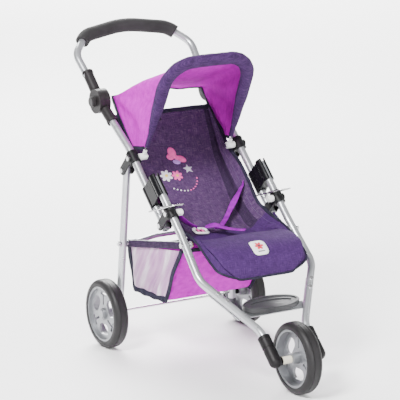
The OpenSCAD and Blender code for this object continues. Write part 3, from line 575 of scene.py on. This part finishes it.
def surface(p):
    """The nearest point of the seat's upper face, and its upward normal."""
    loc, n, _, _ = SKIN.find_nearest(p)
    return loc, (n if n.z > 0 else -n)


def drop(x, y):
    loc, n, _, _ = SKIN.ray_cast(at(x, y, 900), Vector((0, 0, -1)))
    return loc, (n if n.z > 0 else -n)


def above(p, lift):
    """p, raised where it would lie less than lift over the seat."""
    loc, n = surface(p)
    return loc + n * lift if (p - loc).dot(n) < lift else p


def edge_path(column, first, last, lift=0.0):
    out, ups = [], []
    for i in range(first, last + 1):
        p = rows[i][column]
        _, n = surface(p)
        out.append(p + n * lift)
        ups.append(n)
    return out, ups


pieces = []
for sign, col, inner in ((1, 0, 4), (-1, n_cols - 1, n_cols - 5)):
    tag = "left" if sign > 0 else "right"
    pts, ups = edge_path(col, 0, 8 * ALONG, -0.0015)
    sides = [Vector((1, 0, 0)).cross(up).cross(up) * -1 for up in ups]
    pieces.append(sweep(f"wing_binding_{tag}", pts, sides, 0.0042, 0.0028, BIND, 10,
                        swell=lambda t: 1 + 0.06 * math.sin(t * 90)))
    pts, ups = edge_path(inner, 2, 8 * ALONG, 0.0001)
    pieces.append(stitches(f"wing_stitching_{tag}", pts, ups, THREAD))
    pts, ups = edge_path(col, 8 * ALONG, len(rows) - 1)
    pieces.append(rope(f"lobe_piping_{tag}", pts, 0.0028, BIND))
pieces.append(rope("front_piping", rows[-1], 0.0028, BIND))
pieces.append(sweep("back_top_binding", rows[0], Vector((0, 0.62, 0.78)), 0.0055, 0.0030, BIND, 10))
pts = rows[1][3:-3]
pieces.append(stitches("top_stitching", pts, [surface(p)[1] for p in pts], THREAD))
for ob in pieces:
    on_seat(ob)


def decal(name, centre, right, up, outline, mat, body, lift=0.0008, rings=4, dome=0.0006):
    """A thin embroidered or moulded shape that follows the seat."""
    bm = bmesh.new()
    uv = bm.loops.layers.uv.new("UVMap")
    loc, n = surface(centre)
    hub = bm.verts.new(loc + n * (lift + dome))
    hoops = []
    for r in range(1, rings + 1):
        k = r / rings
        hoop = []
        for x, y in outline:
            q, m = surface(centre + right * (x * k) + up * (y * k))
            hoop.append(bm.verts.new(q + m * (lift + dome * (1 - k ** 4))))
        hoops.append(hoop)
    skirt = [bm.verts.new(v.co - n * (lift + 0.0006)) for v in hoops[-1]]
    hoops.append(skirt)
    size = len(outline)
    for a in range(size):
        bm.faces.new((hub, hoops[0][a], hoops[0][(a + 1) % size]))
        for p, q in zip(hoops, hoops[1:]):
            bm.faces.new((p[a], q[a], q[(a + 1) % size], p[(a + 1) % size]))
    for f in bm.faces:
        for loop in f.loops:
            d = loop.vert.co - centre
            loop[uv].uv = (d.dot(right), d.dot(up))
    return add_closed(name, bm, mat, body)


def oval(a, b, turn=0.0, dx=0.0, dy=0.0, steps=20, power=2.0):
    out = []
    for k in range(steps):
        c, s = math.cos(k * math.tau / steps), math.sin(k * math.tau / steps)
        x = a * math.copysign(abs(c) ** (2 / power), c)
        y = b * math.copysign(abs(s) ** (2 / power), s)
        out.append((x * math.cos(turn) - y * math.sin(turn) + dx,
                    x * math.sin(turn) + y * math.cos(turn) + dy))
    return out


def mm(points):
    return [(x / 1000, y / 1000) for x, y in points]


X = Vector((1, 0, 0))


def motif(name, x, y, outline, mat, dx=0.0, dy=0.0, **more):
    loc, n = drop(x, y)
    up = n.cross(X).normalized()
    up = up if up.z > 0 else -up
    spot = loc + X * (dx / 1000) + up * (dy / 1000)
    return decal(name, spot, X, up, mm(outline), mat, "upper_frame", **more)


def flower(name, x, y, r, mat):
    for k in range(7):
        a = k * math.tau / 7 + 0.3
        motif(f"{name}_petal_{k}", x, y, oval(r * 0.42, r * 0.24, a, 0, 0, 12), mat,
              dx=r * 0.56 * math.cos(a), dy=r * 0.56 * math.sin(a))
    motif(f"{name}_heart", x, y, oval(r * 0.24, r * 0.24, steps=12), YELLOW, lift=0.0014)


for k, (tag, dx, dy, a, b, lean, mat) in enumerate((
        ("low", -1, -14, 10, 6, -0.3, LILAC), ("middle", 3, -3, 10, 6, -0.6, PETAL_PINK),
        ("left", -13, 1, 10, 8, -0.3, PETAL_PINK), ("right", 14, -8, 13, 8, -0.55, PETAL_PINK),
        ("top", -6, 12, 10, 13, 0.3, PETAL_PINK))):
    motif(f"butterfly_{tag}", -1, -3, oval(a, b, lean, steps=18), mat, dx=dx, dy=dy,
          lift=0.0008 + 0.0002 * k)
flower("daisy_white", -44, -35, 17, PETAL_WHITE)
flower("daisy_pink", -16, -38, 15, PETAL_PINK)
star = []
for k in range(10):
    reach = 13 if k % 2 == 0 else 6
    star.append((reach * math.sin(k * math.pi / 5), reach * math.cos(k * math.pi / 5)))
motif("star", 20, -27, star, STAR)
for k in range(11):
    a = math.radians(-46 + 12 * k)
    motif(f"dot_{k}", -10 + 42 * math.sin(a), -75 + 34 * (1 - math.cos(a)), oval(2.0, 2.0, steps=10),
          PETAL_PINK if k > 4 else PETAL_WHITE, rings=2)
motif("back_patch", -30, 52, oval(22, 9, power=5, steps=28), VELCRO)
loc, n = surface(at(0, -372, 297))
up = n.cross(X).normalized()
up = up if up.z > 0 else -up


def badge(name, spot, outline, mat, lift, rings, **more):
    """A part of the moulded label on the seat's front."""
    return decal(name, spot, X, up, mm(outline), mat, "lower_frame", lift=lift, rings=rings, **more)


badge("label", loc, oval(20, 22, power=4, steps=40), LABEL, 0.0012, 7, dome=0.0016)
badge("label_rim", loc, oval(21.6, 23.6, power=4, steps=40), BIND, 0.0004, 7)
for k in range(6):
    a = k * math.tau / 6
    spot = loc + X * (0.0065 * math.cos(a)) + up * (0.0065 * math.sin(a) + 0.002)
    badge(f"label_petal_{k}", spot, oval(4.6, 2.9, a, steps=14), LABEL_RED, 0.0034, 3)
badge("label_heart", loc + up * 0.002, oval(2.6, 2.6, steps=12), LABEL_GREY, 0.0042, 2)
badge("label_line", loc - up * 0.013, oval(9, 0.9, power=4, steps=20), LABEL_GREY, 0.0034, 2)

# ---------------------------------------------------------------- straps and buckle


def strap(name, pts, sides, half, mat=WEB, thick=0.0008, lift=0.0026, body=None):
    line = [above(p, lift) for p in catmull([at(*p) for p in pts], 8)]
    side = catmull([Vector(s) for s in sides], 8)
    ob = sweep(name, line, side, half / 1000, thick, mat, 12, 5.0)
    return on_seat(ob) if body is None else (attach(ob, body), ob)[1]


harness = strap("strap_right", [(119, -118, 386), (96, -132, 366), (68, -152, 347), (36, -178, 327),
                                (8, -204, 318), (-20, -226, 314)],
                [(0.5, 0.8, 0.3), (0.5, 0.8, 0.3), (0.4, 0.8, 0.4), (0.3, 0.9, 0.1), (0.3, 0.9, 0),
                 (0.2, 0.95, 0)], 8)
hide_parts("harness")
strap("strap_left", [(-119, -118, 386), (-104, -134, 364), (-88, -156, 344), (-72, -180, 325),
                     (-58, -200, 316)],
      [(0, 0.5, 0.85), (-0.2, 0.7, 0.7), (-0.3, 0.8, 0.3), (-0.3, 0.9, 0.1), (-0.3, 0.9, 0)], 9)
strap("strap_tail", [(-40, -206, 317), (-24, -222, 322), (-4, -238, 316), (16, -254, 313), (30, -268, 313)],
      [(0.3, 0.9, 0), (0.3, 0.9, 0.3), (0.4, 0.8, 0.1), (0.4, 0.8, 0), (0.4, 0.8, 0)], 9)


def buckle():
    """A ladder-lock slider: a rounded frame with two cross bars."""
    loc, n = surface(at(-50, -204, 312))
    right = (X - n * X.dot(n)).normalized()
    up = n.cross(right)
    c = loc + n * 0.006
    ring = [c + right * (0.017 * x) + up * (0.011 * y) for x, y in oval(1, 1, power=5, steps=40)]
    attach(sweep("buckle_frame", ring + ring[:1], n, 0.0024, 0.0032, WHITE, 8, 3.0), "lower_frame")
    for k, t in enumerate((-0.35, 0.35)):
        bar = [c + right * (0.017 * t) + up * (0.010 * y) for y in (-1, 0, 1)]
        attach(sweep(f"buckle_bar_{k}", bar, n, 0.002, 0.002, PETAL_PINK, 8, 2.5), "lower_frame")


buckle()
for sign, tag in ((1, "left"), (-1, "right")):
    tab = catmull([at(sign * 126, -232, 328), at(sign * 127.5, -248, 320), at(sign * 128, -266, 309),
                   at(sign * 128.3, -280, 300)], 5)
    ob = sweep(f"seat_tab_{tag}", tab, Vector((0, 0.7, 0.7)), 0.009, 0.0011, DENIM, 12, 5.0)
    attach(ob, "lower_frame")

# ---------------------------------------------------------------- canopy

# The bow wire: half its width, its lean forward, its height over the pivot and its corner radius
BOW_HALF, BOW_LEAN, BOW_LEN, BOW_BEND = 116, math.radians(26.5), 266, 70
pivot = next(j for j in frame["record"]["behaviour"]["joints"] if j["name"] == "canopy_fold")["pos_m"]
BOW_PLANE = Vector((0, math.cos(BOW_LEAN), math.sin(BOW_LEAN)))


def bow(x, w):
    """A point on the bow's plane, x across and w up from the pivot."""
    return Vector((x / 1000, pivot[1] - w / 1000 * math.sin(BOW_LEAN),
                   pivot[2] + w / 1000 * math.cos(BOW_LEAN)))


def front_arch(t, start=24):
    """Half of the bow wire, from start over the pivot to the middle of the top."""
    straight, arc = BOW_LEN - start - BOW_BEND, BOW_BEND * math.pi / 2
    d = t * (straight + arc + BOW_HALF - BOW_BEND)
    if d < straight:
        return bow(BOW_HALF, start + d)
    if d < straight + arc:
        phi = (d - straight) / BOW_BEND
        return bow(BOW_HALF - BOW_BEND * (1 - math.cos(phi)), start + straight + BOW_BEND * math.sin(phi))
    return bow(BOW_HALF - BOW_BEND - (d - straight - arc), BOW_LEN)


def rear_arch(t):
    """Half of the canopy's rear edge: up the side tube, then across to the middle."""
    corner, split = at(121, 84, 581), 0.62
    if t < split:
        k = t / split
        return lerp(at(127, -22, 479), corner, k) + Vector((0, 0.006 * math.sin(math.pi * k), 0))
    k = (t - split) / (1 - split)
    return lerp(corner, at(0, 97, 586), k) + Vector((0, 0, 0.0030 * math.sin(k * 11) * k))


def arch(fn, t):
    """t runs from 0 at the left foot to 2 at the right foot."""
    p = fn(min(t, 2 - t))
    return p if t <= 1 else Vector((-p.x, p.y, p.z))


def canopy_point(k, t):
    """A point of the canopy, k from its rear edge to the bow, with its slack and folds."""
    rear, front = arch(rear_arch, t), arch(front_arch, t)
    run = (front - rear).length
    k = k * (1 - 0.006 / run)
    p = lerp(rear, front, k)
    e = 0.01
    a = arch(rear_arch, min(2, t + e)) * (1 - k) + arch(front_arch, min(2, t + e)) * k
    b = arch(rear_arch, max(0, t - e)) * (1 - k) + arch(front_arch, max(0, t - e)) * k
    n = (a - b).cross(front - rear).normalized()
    slack = math.sin(math.pi * k)
    side = min(t, 2 - t)
    d = slack * (0.013 * math.exp(-((side - 0.63) / 0.10) ** 2) - 0.004)
    ray = math.atan2(k + 0.02, 0.66 - side)
    near = math.exp(-((side - 0.42) / 0.26) ** 2)
    d += 0.0070 * slack * math.sin(7.5 * ray + 0.6) * near
    d += 0.0024 * slack * math.sin(9 * t + 3.5 * k + 1.2) * (1 - 0.6 * near)
    d += 0.0042 * slack * wrinkle(Vector((t * 1.4, k * 0.7, 0)), 3.2, 2.2)
    d += 0.0012 * slack * wrinkle(p, 45, 6.5)
    return p + n * d


COLS, ROWS = 84, 18
skin = [[canopy_point(i / ROWS, 2 * j / COLS) for j in range(COLS + 1)] for i in range(ROWS + 1)]
canopy = grid("canopy", skin, [MAGENTA, MAGENTA], 0.0012)
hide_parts("canopy")


def on_canopy(ob):
    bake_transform(ob)
    return ob


on_canopy(canopy)
edge = skin[0]
foot = int(0.31 * COLS)


def canopy_tape(part, line, sides, hw, ht):
    """A flat band sewn along an edge of the canopy."""
    on_canopy(sweep(f"canopy_{part}", line, sides, hw, ht, BIND, 10, 4.0))


for tag, line in (("left", edge[:foot + 1]), ("right", edge[-foot - 1:])):
    canopy_tape(f"side_binding_{tag}", line, skin[1][0] - skin[0][0], 0.009, 0.0014)
canopy_tape("rear_binding", edge[foot:COLS + 1 - foot], BOW_PLANE, 0.0042, 0.0016)
for tag, j in (("left", 0), ("right", COLS)):
    canopy_tape(f"foot_binding_{tag}", [row[j] for row in skin], Vector((0, 0.3, 1)), 0.0045, 0.0014)
for k in (1, ROWS - 1):
    line = [p + Vector((0, 0, 0.0006)) for p in skin[k]]
    on_canopy(stitches(f"canopy_stitching_{k}", line, [BOW_PLANE] * len(line), WEB))


def inflate(ob, voxel, cap, pressure, pinned):
    """Swells a stuffed piece with Cloth, holds its seam, and keeps each point within cap."""
    rem = ob.modifiers.new("voxels", "REMESH")
    rem.mode = "VOXEL"
    rem.voxel_size = voxel
    deps = bpy.context.evaluated_depsgraph_get()
    me = bpy.data.meshes.new_from_object(ob.evaluated_get(deps))
    ob.modifiers.clear()
    ob.data = me
    start = [v.co.copy() for v in me.vertices]
    group = ob.vertex_groups.new(name="seam")
    group.add([i for i, p in enumerate(start) if pinned(p)], 1.0, "REPLACE")
    soft = ob.modifiers.new("cloth", "CLOTH")
    soft.settings.quality = 6
    soft.settings.use_pressure = True
    soft.settings.uniform_pressure_force = pressure
    soft.settings.effector_weights.gravity = 0
    soft.settings.vertex_group_mass = "seam"
    soft.point_cache.frame_start = 1
    soft.point_cache.frame_end = 20
    for f in range(1, 21):
        bpy.context.scene.frame_set(f)
    deps = bpy.context.evaluated_depsgraph_get()
    moved = [v.co.copy() for v in ob.evaluated_get(deps).data.vertices]
    ob.modifiers.clear()
    bpy.context.scene.frame_set(1)
    for v, a, b in zip(me.vertices, start, moved):
        d = b - a
        v.co = a + (d if d.length < cap else d.normalized() * cap)
    me.polygons.foreach_set("use_smooth", [True] * len(me.polygons))


def plump(t):
    """Thickness of the roll along the bow: full over the top, slim at both feet."""
    k = min(1.0, min(t, 1 - t) / 0.24)
    return 0.46 + 0.54 * k * k * (3 - 2 * k)


def quilted(p):
    """True where the roll is sewn: along its front seam, and at short tucks beside it."""
    front = (p - bow(0, 0)).dot(BOW_PLANE)
    along = p.x - p.z * 0.7
    tuck = int(along / TUCK_PITCH) != int((along + TUCK_WIDE) / TUCK_PITCH)
    return front > 0.0072 or tuck and front > 0.002


HEM_STEPS = 160
HEM_THIN, HEM_WIDE, HEM_INSET = 0.0100, 0.0168, 0.0046
TUCK_PITCH, TUCK_WIDE = 0.021, 0.0028
line = [arch(lambda t: front_arch(t, 26), 2 * j / HEM_STEPS) for j in range(HEM_STEPS + 1)]
heart = bow(0, 110)
tops = []
for j, p in enumerate(line):
    run = (line[min(j + 1, HEM_STEPS)] - line[max(j - 1, 0)]).normalized()
    inward = run.cross(BOW_PLANE)
    inward = inward if inward.dot(heart - p) > 0 else -inward
    tops.append(p + inward * (HEM_INSET * plump(j / HEM_STEPS)))
hem = sweep("canopy_hem_roll", tops, BOW_PLANE, HEM_THIN, HEM_WIDE, PAD, 20, 2.5, swell=plump)
for v in hem.data.vertices:
    p = v.co
    ripple = math.sin((p.x - 0.4 * p.z) * 210 + 3 * wrinkle(p, 12, 1.0))
    v.co = p + v.normal * (0.0003 * ripple + 0.0012 * wrinkle(p, 22, 4.4))
inflate(hem, voxel=0.0042, cap=0.005, pressure=4.0, pinned=quilted)
round_off(hem)
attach(hem, "canopy_bow")
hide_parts("canopy_hem")
seam = [p + BOW_PLANE * (0.0112 * plump((j + 12) / HEM_STEPS)) for j, p in enumerate(tops[12:-12])]
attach(rope("hem_seam", seam, 0.0011, BIND, 6), "canopy_bow")

# ---------------------------------------------------------------- basket


SIDE_STEPS = 16
# The basket's sides in turn, each as the corners (left or right, rear or front) that it runs between
SIDES = (((1, 0), (1, 1)), ((1, 1), (-1, 1)), ((-1, 1), (-1, 0)), ((-1, 0), (1, 0)))


def basket_ring(level):
    """One hoop of the basket, from the left rear corner round by the front. level is 0 at the floor."""
    half = lerp(115, 129.3, level)
    ry, rz = lerp(6, 4, level), lerp(130, 239, level)
    fy, fz = lerp(-154, -256, level), lerp(137, 282, level)
    soft = 0.015
    out = []
    belly = math.sin(math.pi * level)
    for (a0, b0), (a1, b1) in SIDES:
        for k in range(SIDE_STEPS):
            t = k / SIDE_STEPS
            near = soft + t * (1 - 2 * soft)
            a, b = lerp(a0, a1, near), lerp(b0, b1, near)
            x, y, z = a * half, lerp(ry, fy, b), lerp(rz, fz, b)
            swell = math.sin(math.pi * t)
            if a0 == a1:
                x += a0 * belly * swell * 1.5
                z -= 3.0 * swell * (1 - level) * 0.5
            else:
                y += (5.0 if b0 == 0 else -5.0) * belly * swell
                if b0 == 0:
                    z -= 11.0 * level ** 3 * swell
                else:
                    z -= 4.0 * level ** 3 * swell
            p = at(x, y, z)
            fold = 0.0045 * math.sin(t * 9 + level * 4 + a0 * 2 + b0) * belly
            p += Vector((a0 if a0 == a1 else 0, 0 if a0 == a1 else (1 if b0 == 0 else -1), 0)) * fold
            p += Vector((1, 1, 0)) * (0.0012 * wrinkle(p, 30, 9.0) * belly)
            out.append(p)
    return out


LEVELS = 16
hoops = [basket_ring(1 - i / LEVELS) for i in range(LEVELS + 1)]
centre = sum(hoops[-1], Vector()) / len(hoops[-1])
for k in (0.8, 0.6, 0.4, 0.2, 0.04):
    sag = 0.007 * (1 - k * k)
    hoops.append([centre.lerp(p, k) - Vector((0, 0, sag)) for p in hoops[LEVELS]])
basket = grid("basket_cloth", hoops, [MAGENTA, NET], 0.0011, closed=True,
              pick=lambda i, j: 1 if i < LEVELS and j // SIDE_STEPS in (0, 2) else 0)
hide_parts("basket")
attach(basket, "strut_frame")
tape = []
for tag, sx, first in (("left", 1, 0), ("right", -1, 32)):
    line = catmull([at(sx * 131.7, 2, 244), at(sx * 131.7, -150, 274.5), at(sx * 131.7, -284, 301.5)], 16)
    tape.append(sweep(f"basket_hem_{tag}", line, Vector((0, -0.2, 1)), 0.0086, 0.0036, GUSSET, 14, 3.0,
                      swell=lambda t: 1 + 0.04 * math.sin(t * 60)))
    for part, j in (("rear", first if sx > 0 else first + 16), ("front", first + 16 if sx > 0 else first)):
        inward, half = (-0.004, 0.0095) if part == "rear" else (0.001, 0.0068)
        line = [hoops[i][j % 64] + Vector((sx * 0.0012, inward, 0)) for i in range(LEVELS + 1)]
        tape.append(sweep(f"basket_{part}_binding_{tag}", line, Vector((0, 1, 0.2)), half, 0.0016, BIND, 10))
    line = [hoops[LEVELS][(first + k) % 64] + Vector((sx * 0.001, 0, 0.003)) for k in range(17)]
    tape.append(sweep(f"basket_floor_binding_{tag}", line, Vector((0, 0, 1)), 0.0075, 0.0016, BIND, 10, 3.0,
                      swell=lambda t: 1 + 0.16 * math.sin(t * 21)))
for tag, first in (("front", 16), ("rear", 48)):
    line = [hoops[0][(first + k) % 64] for k in range(17)]
    tape.append(sweep(f"basket_{tag}_rim", line, Vector((0, 0, 1)), 0.0045, 0.0016, BIND, 10, 3.0))
for ob in tape:
    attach(ob, "strut_frame")
